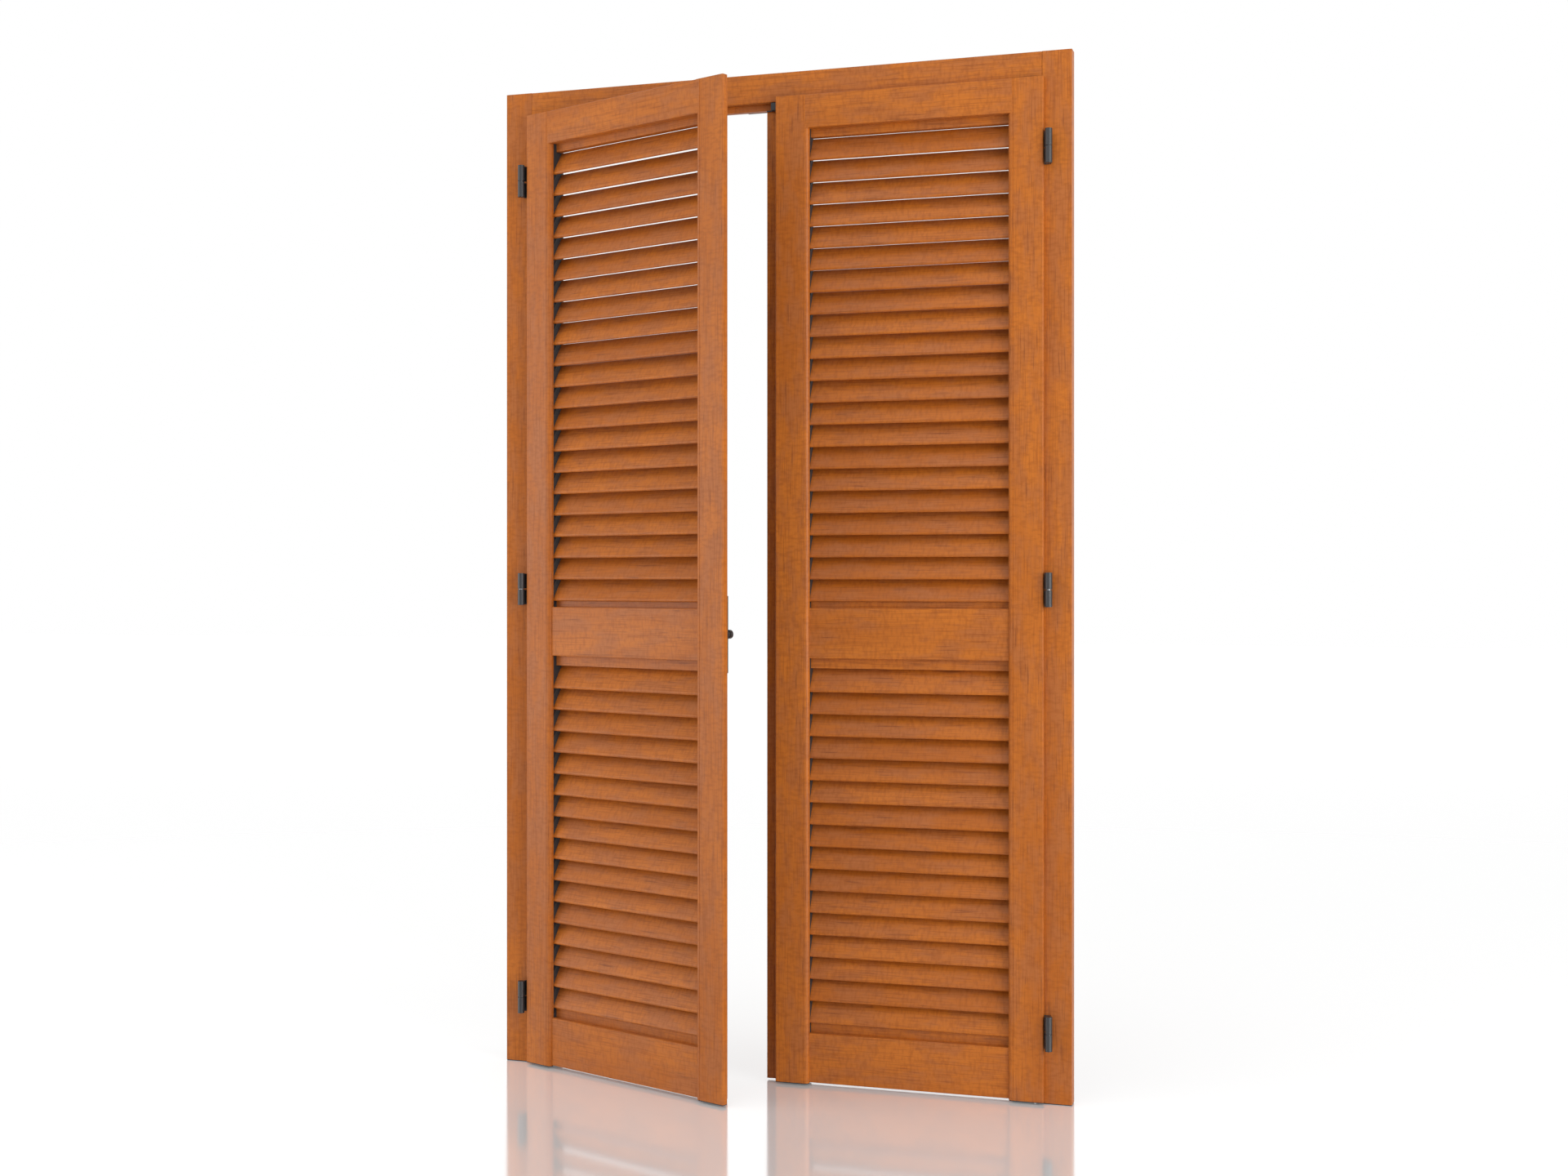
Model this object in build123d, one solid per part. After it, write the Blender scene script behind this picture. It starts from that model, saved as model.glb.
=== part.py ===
from build123d import *
from math import cos, floor, radians, sin
import os

# Louvred shutters for a French window: two leaves in a three-sided frame.
# X runs to the right, Y into the wall and Z up, in millimetres. The origin is
# the bottom centre of the frame, on the face of the wall. The leaves open
# towards -Y. Pieces of a leaf are made for the closed right leaf, and the left
# leaf is its mirror image, turned open about its hinge pins.

# Frame
FRAME_WIDTH = 1350.0
FRAME_HEIGHT = 2300.0
FRAME_FACE = 66.0  # width of the jambs and the head, seen from the front
FRAME_PROUD = 30.0  # how far the frame stands out from the wall
WALL_LAP = 35.0  # flange that covers the edge of the wall
FIN_REACH = 20.0  # of the fin that the wall screws go through
FIN_THICKNESS = 2.5
STOP_SETBACK = 16.0  # from the frame's face back to the stop
STOP_WIDTH = 15.0
FRAME_WALL = 1.8
FRAME_ROUND = 2.0
FOOT_CAP = 2.0
FIXING_HOLE = 8.0
FIXINGS = 4  # holes in each jamb's fin
FIXING_INSET = 175.0  # of the end holes from the jamb's ends

# Leaves
OPEN_ANGLE = 21.4  # of the left leaf
LEAF_PROUD = 15.0  # how far a leaf's face stands out from the frame's
LEAF_DEPTH = 48.0
SIDE_OVERLAP = 6.0  # of a leaf over a jamb
TOP_OVERLAP = 8.0  # of a leaf over the head
MEETING_GAP = 5.0
FLOOR_GAP = 4.0
STILE_WIDTH = 78.0
WING_WIDTH = 28.0  # thin part of a leaf's edge that laps the frame
WING_DEPTH = 14.5
NIB_REACH = 14.0  # fin that closes on the gasket
NIB_BACK = 28.0
NIB_THICKNESS = 2.0
LEAF_WALL = 1.8
LEAF_ROUND = 2.5
BEVEL_WIDTH = 9.0  # moulded inner edge of a stile
BEVEL_DEPTH = 8.0
LIP_DEPTH = 13.0
GROOVE_WIDTH = 1.4
GROOVE_DEPTH = 0.8
END_CAP = 2.0
CAP_INSET = 0.8  # of an end cap inside its profile's outline

# Rails and filler strips
TOP_RECESS = 0.2  # of the top rail's face behind the stiles'
LOW_RECESS = 7.5  # of the other rails' faces, at the foot of the moulding
TOP_RAIL = 75.0
MID_RAIL = 114.0
BOTTOM_RAIL = 111.0
BOTTOM_LIFT = 1.5  # of the bottom rail above the stiles' ends
RAIL_CHAMFER = 1.2
CONNECTOR_LENGTH = 50.0
CONNECTOR_FIT = 0.2
PLUG_DEPTH = 2.0
STRIP_FRONT = 22.5  # of a strip's face behind the stiles'
STRIP_DEPTH = 17.0
STRIP_WALL = 1.5
BOTTOM_SILL_STRIP = 22.5
MID_SILL_STRIP = 15.0
MID_HEAD_STRIP = 23.0
LEAST_HEAD_STRIP = 15.0

# Slats and their carriers
SLAT_PITCH = 50.0
LOWER_SLATS = 16
SLAT_CHORD = 61.0
SLAT_THICKNESS = 10.0
SLAT_NOSE = 4.0  # radius
NOSE_SIDES = 4  # flats that each nose is made of
SLAT_TILT = 60.5
SLAT_FRONT = 13.5  # of the noses behind the stiles' face
SLAT_TUCK = 1.0  # of the strip under a panel, up behind the lowest nose
CARRIER_THICKNESS = 6.0
CARRIER_GROOVE = 3.0  # depth of a carrier's grooves
GROOVE_PLAY = 0.3

# Hinges
HINGE_INSET = 154.0  # of the end hinges' middles from a leaf's ends
HINGE_OFFSET = 12.5  # of the pins from a leaf's edge
HINGE_STANDOFF = 20.0  # of the pins from the frame's face
HINGE_LENGTH = 75.0
KNUCKLE_RADIUS = 7.8
KNUCKLE_GAP = 1.2  # between the two knuckles of a hinge
PIN_RADIUS = 4.0
PIN_PLAY = 0.05
ARM_THICKNESS = 3.5  # also of the web from an arm to its knuckle
PLATE_THICKNESS = 3.0
ARM_PLAY = 1.0
HINGE_PLATE_PLAY = 1.5
KNUCKLE_END = 4.0  # closed end of a knuckle
SPIGOT_SIDE = 5.0
SPIGOT_DEPTH = 12.0
LEAF_ARM_SETBACK = 0.5  # of a leaf's hinge arm in front of the frame's
ARM_NOTCH_PLAY = 0.5

# Seals
GASKET_WIDTH = 5.0
GASKET_PLAY = 0.4
GASKET_INSET = 1.5

# Tongue on the right leaf that the left leaf closes on
TONGUE_REACH = 29.5  # past the right leaf's edge
TONGUE_THICKNESS = 11.0
TONGUE_PLAY = 3.0  # under the head's stop
CAP_PLATE = 2.5
CAP_REACH = 15.5
CAP_BODY = 29.0
CAP_PLAY = 1.0

# Lock on the left leaf and bolts on the right one
HOUSING_WIDTH = 34.0
HOUSING_LENGTH = 170.0
HOUSING_DEPTH = 14.0
HOUSING_WALL = 2.5
ROD_WIDTH = 14.0
ROD_THICKNESS = 5.0
ROD_STANDOFF = 3.0
ROD_PLAY = 0.3
ROD_START = 45.0  # from the middle of the housing
GUIDE_WIDTH = 28.0
GUIDE_LENGTH = 22.0
GUIDE_WALL = 2.5
NECK_RADIUS = 9.0
NECK_LENGTH = 24.0
NECK_PLAY = 0.08
LEVER_LENGTH = 115.0
LEVER_WIDTH = 20.0
LEVER_THICKNESS = 9.0
BOLT_LENGTH = 210.0
BOLT_PLATE_LENGTH = 130.0
BOLT_PLATE = 2.5
TAB_WIDTH = 12.0
TAB_HEIGHT = 10.0
TAB_REACH = 16.0
TAB_DROP = 50.0  # from the top of the plate to the tab
KEEPER_WIDTH = 44.0
KEEPER_HEIGHT = 15.0
KEEPER_PLAY = 0.5
LEAST_FLOOR_GAP = 8.0  # under a bolt that is drawn back
BOLT_INSET = 55.0  # from a bolt's tip to its plate
HOUSING_ROUND = 3.0
LEVER_TIP = 14.0
GUIDE_PLACES = (0.25, 0.65)  # shares of a rod's length from its far end

# Places that follow from the sizes above
FRAME_EDGE = FRAME_WIDTH / 2
FRAME_FRONT = -FRAME_PROUD
JAMB_INNER = FRAME_EDGE - FRAME_FACE
STOP_FRONT = FRAME_FRONT + STOP_SETBACK
STOP_EDGE = JAMB_INNER - STOP_WIDTH
HEAD_UNDERSIDE = FRAME_HEIGHT - FRAME_FACE
STOP_UNDERSIDE = HEAD_UNDERSIDE - STOP_WIDTH
LEAF_FRONT = FRAME_FRONT - LEAF_PROUD
LEAF_BACK = LEAF_FRONT + LEAF_DEPTH
LEAF_OUTER = JAMB_INNER + SIDE_OVERLAP
LEAF_INNER = MEETING_GAP / 2
LEAF_TOP = HEAD_UNDERSIDE + TOP_OVERLAP
BODY_TOP = LEAF_TOP - WING_WIDTH
STILE_BOTTOM = FLOOR_GAP + END_CAP
PANEL_LEFT = LEAF_INNER + STILE_WIDTH
PANEL_RIGHT = LEAF_OUTER - STILE_WIDTH
FIXING_PITCH = (FRAME_HEIGHT - 2 * FIXING_INSET) / (FIXINGS - 1)
HINGE_X = LEAF_OUTER + HINGE_OFFSET
HINGE_Y = FRAME_FRONT - HINGE_STANDOFF
HINGE_HEIGHTS = (FLOOR_GAP + HINGE_INSET, (FLOOR_GAP + LEAF_TOP) / 2, LEAF_TOP - HINGE_INSET)
MEETING_CENTRE = LEAF_INNER + (WING_WIDTH + STILE_WIDTH) / 2
TOP_RAIL_BOTTOM = LEAF_TOP - TOP_RAIL
BOTTOM_RAIL_TOP = STILE_BOTTOM + BOTTOM_LIFT + BOTTOM_RAIL
SLAT_RISE = (SLAT_CHORD - 2 * SLAT_NOSE) * sin(radians(SLAT_TILT)) + 2 * SLAT_NOSE
LOWER_NOSE = BOTTOM_RAIL_TOP + BOTTOM_SILL_STRIP - SLAT_TUCK
LOWER_PANEL_TOP = LOWER_NOSE + (LOWER_SLATS - 1) * SLAT_PITCH + SLAT_RISE
MID_RAIL_BOTTOM = LOWER_PANEL_TOP + MID_HEAD_STRIP
MID_RAIL_TOP = MID_RAIL_BOTTOM + MID_RAIL
LOCK_HEIGHT = (MID_RAIL_BOTTOM + MID_RAIL_TOP) / 2
UPPER_NOSE = MID_RAIL_TOP + MID_SILL_STRIP - SLAT_TUCK
UPPER_ROOM = TOP_RAIL_BOTTOM - LEAST_HEAD_STRIP - UPPER_NOSE - SLAT_RISE
UPPER_SLATS = floor(UPPER_ROOM / SLAT_PITCH) + 1
UPPER_PANEL_TOP = UPPER_NOSE + (UPPER_SLATS - 1) * SLAT_PITCH + SLAT_RISE
LEAF_ARM_FRONT = FRAME_FRONT - ARM_THICKNESS - LEAF_ARM_SETBACK
WEB_X = (HINGE_X - ARM_THICKNESS / 2, HINGE_X + ARM_THICKNESS / 2)
ROD_FRONT = LEAF_BACK + ROD_STANDOFF
UPPER_ROD = (LOCK_HEIGHT + ROD_START, BODY_TOP)
LOWER_ROD = (LEAST_FLOOR_GAP, LOCK_HEIGHT - ROD_START)
GASKET_Y = (LEAF_FRONT + NIB_BACK, STOP_FRONT - GASKET_PLAY)
RAIL_BODIES = (
    (STILE_BOTTOM + BOTTOM_LIFT, BOTTOM_RAIL_TOP),
    (MID_RAIL_BOTTOM, MID_RAIL_TOP),
    (TOP_RAIL_BOTTOM, BODY_TOP),
)


def box(x, y, z):
    """A block between two values on each axis."""
    size = [high - low for low, high in (x, y, z)]
    return Pos(x[0], y[0], z[0]) * Box(*size, align=Align.MIN)


def outline(points, radii=0.0):
    """A closed outline of straight runs with rounded corners."""
    return make_face(FilletPolyline(*points, radius=radii, close=True))


def cornered(corners):
    """A closed outline whose corners each give a place and a radius."""
    return outline([(a, b) for a, b, radius in corners], [radius for a, b, radius in corners])


def rectangle(x, y):
    """A plain face between two values on each axis."""
    return outline([(x[0], y[0]), (x[1], y[0]), (x[1], y[1]), (x[0], y[1])])


def upright(section, z):
    """A section in X and Y, drawn up between two heights."""
    return Pos(0, 0, z[0]) * extrude(section, z[1] - z[0])


def level(section, x):
    """A section in Y and Z, drawn across between two places in X."""
    return extrude(Plane.YZ.offset(x[0]) * section, x[1] - x[0], dir=(1, 0, 0))


def frame_section():
    """The frame's extrusion: a from its outer edge inwards, b from the wall."""
    front = -FRAME_PROUD
    stop = front + STOP_SETBACK
    inner = FRAME_FACE + STOP_WIDTH
    fin = WALL_LAP + FIN_THICKNESS
    corners = [
        (0, 0, 0),
        (0, front, FRAME_ROUND),
        (FRAME_FACE, front, FRAME_ROUND),
        (FRAME_FACE, stop, 0),
        (inner, stop, 0),
        (inner, 0, 0),
        (fin, 0, 0),
        (fin, FIN_REACH, 0),
        (WALL_LAP, FIN_REACH, 0),
        (WALL_LAP, 0, 0),
    ]
    wall = FRAME_WALL
    front_chamber = rectangle((wall, FRAME_FACE - wall), (front + wall, -wall))
    stop_chamber = rectangle((FRAME_FACE - wall, inner - wall), (stop + wall, -wall))
    return cornered(corners) - (front_chamber + stop_chamber)


def stile_corners():
    """A leaf's extrusion: u from the edge of its wing inwards, v from its face."""
    bevel = STILE_WIDTH - BEVEL_WIDTH
    groove = bevel - 2 * GROOVE_WIDTH
    channel = STILE_WIDTH - CARRIER_THICKNESS
    nib_front = NIB_BACK - NIB_THICKNESS
    return [
        (0, WING_DEPTH, 0),
        (0, 0, LEAF_ROUND),
        (groove, 0, 0),
        (groove + GROOVE_WIDTH / 2, GROOVE_DEPTH, 0),
        (groove + GROOVE_WIDTH, 0, 0),
        (bevel, 0, 0),
        (STILE_WIDTH - BEVEL_WIDTH / 2, BEVEL_DEPTH / 8, 0),
        (STILE_WIDTH - BEVEL_WIDTH / 8, BEVEL_DEPTH / 2, BEVEL_DEPTH / 2),
        (STILE_WIDTH, BEVEL_DEPTH, 0),
        (STILE_WIDTH, LIP_DEPTH, 0),
        (channel, LIP_DEPTH, 0),
        (channel, LEAF_DEPTH, 0),
        (WING_WIDTH, LEAF_DEPTH, 0),
        (WING_WIDTH, NIB_BACK, 0),
        (NIB_REACH, NIB_BACK, 0),
        (NIB_REACH, nib_front, 0),
        (WING_WIDTH, nib_front, 0),
        (WING_WIDTH, WING_DEPTH, 0),
    ]


def wing_chamber(inset=0.0):
    """The hollow of a stile's wing, in u and v."""
    edge = LEAF_WALL + inset
    return rectangle((edge, WING_WIDTH - inset), (edge, WING_DEPTH - edge))


def body_chamber(inset=0.0):
    """The hollow of a stile's body, in u and v."""
    edge = LEAF_WALL + inset
    channel = STILE_WIDTH - CARRIER_THICKNESS
    return rectangle((WING_WIDTH + edge, channel - edge), (edge, LEAF_DEPTH - edge))


def hinge_side(section):
    """Puts a section in u and v at the hinge side of the right leaf."""
    return Pos(LEAF_OUTER, LEAF_FRONT) * mirror(section, about=Plane.YZ)


def meeting_side(section):
    """Puts a section in u and v at the meeting side of the right leaf."""
    return Pos(LEAF_INNER, LEAF_FRONT) * section


def rail_shape(top, height, winged):
    """A rail's outline in Y and Z, and the hollow inside it."""
    wall = LEAF_WALL
    front = LEAF_FRONT + (TOP_RECESS if winged else LOW_RECESS)
    bottom = top - height
    wing_back = LEAF_FRONT + WING_DEPTH
    nib_back = LEAF_FRONT + NIB_BACK
    nib_front = nib_back - NIB_THICKNESS
    body_top = top - WING_WIDTH if winged else top
    chamber = rectangle((front + wall, LEAF_BACK - wall), (bottom + wall, body_top - wall))
    slope = RAIL_CHAMFER
    edge = [(front + slope, bottom), (front, bottom + slope), (front, top - slope), (front + slope, top)]
    if not winged:
        back = [(LEAF_BACK, top), (LEAF_BACK, bottom)]
        return outline(edge + back), chamber
    back = [
        (wing_back, top),
        (wing_back, body_top),
        (nib_front, body_top),
        (nib_front, top - NIB_REACH),
        (nib_back, top - NIB_REACH),
        (nib_back, body_top),
        (LEAF_BACK, body_top),
        (LEAF_BACK, bottom),
    ]
    wing = rectangle((front + wall, wing_back - wall), (bottom + wall, top - wall))
    return outline(edge + back), chamber + wing


def slat_section():
    """An oval slat in Y and Z, with its nose and its lowest point at 0."""
    reach = SLAT_CHORD - 2 * SLAT_NOSE
    belly = SLAT_THICKNESS / 2
    corners = [(reach / 2, belly)]
    for centre, start in ((0, 90), (reach, 270)):
        for step in range(NOSE_SIDES + 1):
            turn = radians(start + 180 * step / NOSE_SIDES)
            corners.append((centre + SLAT_NOSE * cos(turn), SLAT_NOSE * sin(turn)))
        if centre == 0:
            corners.append((reach / 2, -belly))
    return Pos(SLAT_NOSE, SLAT_NOSE) * Rot(0, 0, SLAT_TILT) * outline(corners)


def groove_section():
    """The groove of a carrier, in line with the slat that slides into it."""
    half = SLAT_THICKNESS / 2 + GROOVE_PLAY
    groove = rectangle((-LEAF_DEPTH, LEAF_DEPTH + SLAT_CHORD), (-half, half))
    return Pos(SLAT_NOSE, SLAT_NOSE) * Rot(0, 0, SLAT_TILT) * groove


def frame_jamb():
    """The right jamb, with holes through its fin for the wall screws."""
    section = Pos(FRAME_EDGE, 0) * mirror(frame_section(), about=Plane.YZ)
    jamb = upright(section, (FOOT_CAP, FRAME_HEIGHT))
    drill = Rot(0, 90, 0) * Cylinder(FIXING_HOLE / 2, 3 * FIN_THICKNESS)
    for i in range(FIXINGS):
        height = FIXING_INSET + i * FIXING_PITCH
        jamb = jamb - Pos(FRAME_EDGE - WALL_LAP, FIN_REACH / 2, height) * drill
    return jamb


def frame_head():
    """The head, butted between the jambs and notched round their stops."""
    section = Pos(0, FRAME_HEIGHT) * Rot(0, 0, -90) * frame_section()
    head = level(section, (-JAMB_INNER, JAMB_INNER))
    notch = box((STOP_EDGE, JAMB_INNER), (STOP_FRONT, 0), (STOP_UNDERSIDE, FRAME_HEIGHT))
    return head - notch - mirror(notch, about=Plane.YZ)


def keeper():
    """A block on the back of the head's stop, which the top bolt slides up behind."""
    half = KEEPER_WIDTH / 2
    x = (MEETING_CENTRE - half, MEETING_CENTRE + half)
    return box(x, (0, ROD_FRONT - KEEPER_PLAY), (STOP_UNDERSIDE, STOP_UNDERSIDE + KEEPER_HEIGHT))


def head_connectors():
    """Blocks in the head's chamber that its screws pull against the jambs."""
    inset = FRAME_WALL + CONNECTOR_FIT
    y = (FRAME_FRONT + inset, STOP_FRONT - CONNECTOR_FIT)
    z = (HEAD_UNDERSIDE + inset, FRAME_HEIGHT - inset)
    right = box((JAMB_INNER - CONNECTOR_LENGTH, JAMB_INNER), y, z)
    return [right, mirror(right, about=Plane.YZ)]


def frame_caps():
    """Caps under the jambs and plugs in their tops."""
    outer = make_face(frame_section().face().outer_wire())
    foot = offset(outer, -CAP_INSET, kind=Kind.INTERSECTION)
    inset = FRAME_WALL + CONNECTOR_FIT
    plug = rectangle((inset, FRAME_FACE - inset), (FRAME_FRONT + inset, -inset))
    pieces = []
    for section, z in ((foot, (0, FOOT_CAP)), (plug, (FRAME_HEIGHT - PLUG_DEPTH, FRAME_HEIGHT))):
        right = Pos(FRAME_EDGE, 0) * upright(mirror(section, about=Plane.YZ), z)
        pieces += [right, mirror(right, about=Plane.YZ)]
    return pieces


def side_gasket():
    """The seal on the nib of the hinge stile, which closes on the jamb's stop."""
    x = (STOP_EDGE + GASKET_INSET, STOP_EDGE + GASKET_INSET + GASKET_WIDTH)
    return box(x, GASKET_Y, (STILE_BOTTOM, BODY_TOP))


def top_gasket():
    """The seal on the nib of the top rail, which closes on the head's stop."""
    z = (STOP_UNDERSIDE + GASKET_INSET, STOP_UNDERSIDE + GASKET_INSET + GASKET_WIDTH)
    return box((PANEL_LEFT, PANEL_RIGHT), GASKET_Y, z)


def meeting_gasket():
    """The left leaf's seal that closes on the tongue, drawn on the right side."""
    x = TONGUE_REACH - LEAF_INNER - GASKET_INSET
    return box((x - GASKET_WIDTH, x), GASKET_Y, (STILE_BOTTOM, BODY_TOP))


def post(radius, z):
    """A round bar on the axis of the hinges."""
    bar = Cylinder(radius, z[1] - z[0], align=(Align.CENTER, Align.CENTER, Align.MIN))
    return Pos(HINGE_X, HINGE_Y, z[0]) * bar


def spigot(height):
    """The square end that keys a hinge's pin into the lower knuckle."""
    half = SPIGOT_SIDE / 2
    top = height - KNUCKLE_GAP / 2
    x = (HINGE_X - half, HINGE_X + half)
    return box(x, (HINGE_Y - half, HINGE_Y + half), (top - SPIGOT_DEPTH, top))


def hinge_pin(height):
    """A pin, keyed into the lower knuckle, whose tip carries the upper one."""
    base = height - KNUCKLE_GAP / 2
    tip = height + HINGE_LENGTH / 2 - KNUCKLE_END
    return post(PIN_RADIUS, (base, tip)) + spigot(height)


def frame_hinge_half(height):
    """Lower knuckle, web, arm on the frame's face and plate in the rebate."""
    z = (height - HINGE_LENGTH / 2, height - KNUCKLE_GAP / 2)
    arm_z = (z[0] + ARM_PLAY, z[1] - ARM_PLAY)
    arm_y = (FRAME_FRONT - ARM_THICKNESS, FRAME_FRONT)
    plate_x = (JAMB_INNER - PLATE_THICKNESS, JAMB_INNER)
    arm = box((plate_x[0], WEB_X[1]), arm_y, arm_z)
    web = box(WEB_X, (HINGE_Y, arm_y[1]), arm_z)
    plate = box(plate_x, (arm_y[0], STOP_FRONT - HINGE_PLATE_PLAY), arm_z)
    return post(KNUCKLE_RADIUS, z) + web + arm + plate - spigot(height)


def leaf_hinge_half(height):
    """Upper knuckle, web, arm behind the wing and plate on the side of the leaf."""
    z = (height + KNUCKLE_GAP / 2, height + HINGE_LENGTH / 2)
    arm_z = (z[0] + ARM_PLAY, z[1] - ARM_PLAY)
    arm_y = (LEAF_ARM_FRONT, LEAF_ARM_FRONT + ARM_THICKNESS)
    body_side = LEAF_OUTER - WING_WIDTH
    plate_back = LEAF_FRONT + NIB_BACK - NIB_THICKNESS - HINGE_PLATE_PLAY
    arm = box((body_side, WEB_X[1]), arm_y, arm_z)
    web = box(WEB_X, (HINGE_Y, arm_y[1]), arm_z)
    plate = box((body_side, body_side + PLATE_THICKNESS), (arm_y[0], plate_back), arm_z)
    bore = post(PIN_RADIUS + PIN_PLAY, (z[0], z[1] - KNUCKLE_END))
    return post(KNUCKLE_RADIUS, z) + web + arm + plate - bore


def stile(place):
    """A stile with its body cut back under the head, and its wing full height."""
    section = cornered(stile_corners()) - wing_chamber() - body_chamber()
    bar = upright(place(section), (STILE_BOTTOM, LEAF_TOP))
    notch = place(rectangle((-1, STILE_WIDTH + 1), (WING_DEPTH, LEAF_DEPTH + 1)))
    return bar - upright(notch, (BODY_TOP, LEAF_TOP + 1))


def hinge_stile():
    """The stile at the hinges, with its wing notched behind for their arms."""
    bar = stile(hinge_side)
    notch = rectangle((-1, WING_WIDTH), (LEAF_ARM_FRONT - ARM_NOTCH_PLAY - LEAF_FRONT, WING_DEPTH + 1))
    half = HINGE_LENGTH / 2 + ARM_PLAY
    for height in HINGE_HEIGHTS:
        bar = bar - upright(hinge_side(notch), (height - half, height + half))
    return bar


def stile_caps():
    """Caps under both stiles and plugs in the tops of their chambers."""
    corners = [(u, v, 0) for u, v, radius in stile_corners()]
    foot = offset(cornered(corners), -CAP_INSET, kind=Kind.INTERSECTION)
    wing_plug = (LEAF_TOP - PLUG_DEPTH, LEAF_TOP)
    body_plug = (BODY_TOP - PLUG_DEPTH, BODY_TOP)
    pieces = []
    for place in (hinge_side, meeting_side):
        pieces.append(upright(place(foot), (FLOOR_GAP, STILE_BOTTOM)))
        pieces.append(upright(place(wing_chamber(CONNECTOR_FIT)), wing_plug))
        pieces.append(upright(place(body_chamber(CONNECTOR_FIT)), body_plug))
    return pieces


def cope(place):
    """The end of the top rail's face, shaped to lie over a stile's moulding."""
    over = rectangle((STILE_WIDTH - BEVEL_WIDTH, STILE_WIDTH), (TOP_RECESS, BEVEL_DEPTH))
    return upright(place(over - cornered(stile_corners())), (TOP_RAIL_BOTTOM, LEAF_TOP))


def rail(top, height, winged=False):
    """A rail, notched round the stiles' lips so that its body meets theirs."""
    face, chamber = rail_shape(top, height, winged)
    ends = (PANEL_LEFT - CARRIER_THICKNESS, PANEL_RIGHT + CARRIER_THICKNESS)
    bar = level(face - chamber, ends)
    z = (top - height, top)
    lip = (LEAF_FRONT, LEAF_FRONT + LIP_DEPTH)
    bar = bar - box((ends[0], PANEL_LEFT), lip, z) - box((PANEL_RIGHT, ends[1]), lip, z)
    if winged:
        over = (top - WING_WIDTH, top)
        depth = (LEAF_FRONT, LEAF_BACK)
        bar = bar - box((ends[0], PANEL_LEFT), depth, over) - box((PANEL_RIGHT, ends[1]), depth, over)
        bar = bar + cope(meeting_side) + cope(hinge_side)
    return bar


def rail_connectors():
    """Blocks in the rails' chambers that join them to the stiles."""
    inset = LEAF_WALL + CONNECTOR_FIT
    y = (LEAF_FRONT + LIP_DEPTH + CONNECTOR_FIT, LEAF_BACK - inset)
    left = (PANEL_LEFT - CARRIER_THICKNESS, PANEL_LEFT - CARRIER_THICKNESS + CONNECTOR_LENGTH)
    right = (PANEL_RIGHT + CARRIER_THICKNESS - CONNECTOR_LENGTH, PANEL_RIGHT + CARRIER_THICKNESS)
    pieces = []
    for low, high in RAIL_BODIES:
        z = (low + inset, high - inset)
        pieces += [box(left, y, z), box(right, y, z)]
    return pieces


def slats(nose, count):
    """The slats of one panel, with their ends in the carriers' grooves."""
    ends = (PANEL_LEFT - CARRIER_GROOVE, PANEL_RIGHT + CARRIER_GROOVE)
    slat = Pos(0, LEAF_FRONT + SLAT_FRONT, 0) * level(slat_section(), ends)
    return [Pos(0, 0, nose + i * SLAT_PITCH) * slat for i in range(count)]


def carriers(nose, count, z):
    """The two black strips of one panel that hold its slats' ends."""
    y = (LEAF_FRONT + LIP_DEPTH, LEAF_BACK)
    groove = level(groove_section(), (-CARRIER_GROOVE, CARRIER_GROOVE))
    groove = Pos(0, LEAF_FRONT + SLAT_FRONT, 0) * groove
    left = box((PANEL_LEFT - CARRIER_THICKNESS, PANEL_LEFT), y, z)
    right = box((PANEL_RIGHT, PANEL_RIGHT + CARRIER_THICKNESS), y, z)
    heights = [nose + i * SLAT_PITCH for i in range(count)]
    left = left - [Pos(PANEL_LEFT, 0, height) * groove for height in heights]
    right = right - [Pos(PANEL_RIGHT, 0, height) * groove for height in heights]
    return [left, right]


def strips(spans):
    """Hollow filler strips between the rails and the slats of one panel."""
    pieces = []
    front = LEAF_FRONT + STRIP_FRONT
    y = (front, front + STRIP_DEPTH)
    wall = STRIP_WALL
    for z in spans:
        hollow = rectangle((y[0] + wall, y[1] - wall), (z[0] + wall, z[1] - wall))
        pieces.append(level(rectangle(y, z) - hollow, (PANEL_LEFT, PANEL_RIGHT)))
    return pieces


def leaf_pieces():
    """Every piece that both leaves have, for the closed right leaf."""
    return {
        "hinge_stile": [hinge_stile()],
        "meeting_stile": [stile(meeting_side)],
        "top_rail": [rail(LEAF_TOP, TOP_RAIL, winged=True)],
        "mid_rail": [rail(MID_RAIL_TOP, MID_RAIL)],
        "bottom_rail": [rail(BOTTOM_RAIL_TOP, BOTTOM_RAIL)],
        "rail_connectors": rail_connectors(),
        "stile_caps": stile_caps(),
        "upper_slats": slats(UPPER_NOSE, UPPER_SLATS),
        "lower_slats": slats(LOWER_NOSE, LOWER_SLATS),
        "upper_carriers": carriers(UPPER_NOSE, UPPER_SLATS, (MID_RAIL_TOP, TOP_RAIL_BOTTOM)),
        "lower_carriers": carriers(LOWER_NOSE, LOWER_SLATS, (BOTTOM_RAIL_TOP, MID_RAIL_BOTTOM)),
        "upper_strips": strips([
            (MID_RAIL_TOP, UPPER_NOSE + SLAT_TUCK),
            (UPPER_PANEL_TOP, TOP_RAIL_BOTTOM),
        ]),
        "lower_strips": strips([
            (BOTTOM_RAIL_TOP, LOWER_NOSE + SLAT_TUCK),
            (LOWER_PANEL_TOP, MID_RAIL_BOTTOM),
        ]),
        "gaskets": [side_gasket(), top_gasket()],
        "hinge_halves": [leaf_hinge_half(height) for height in HINGE_HEIGHTS],
    }


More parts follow.
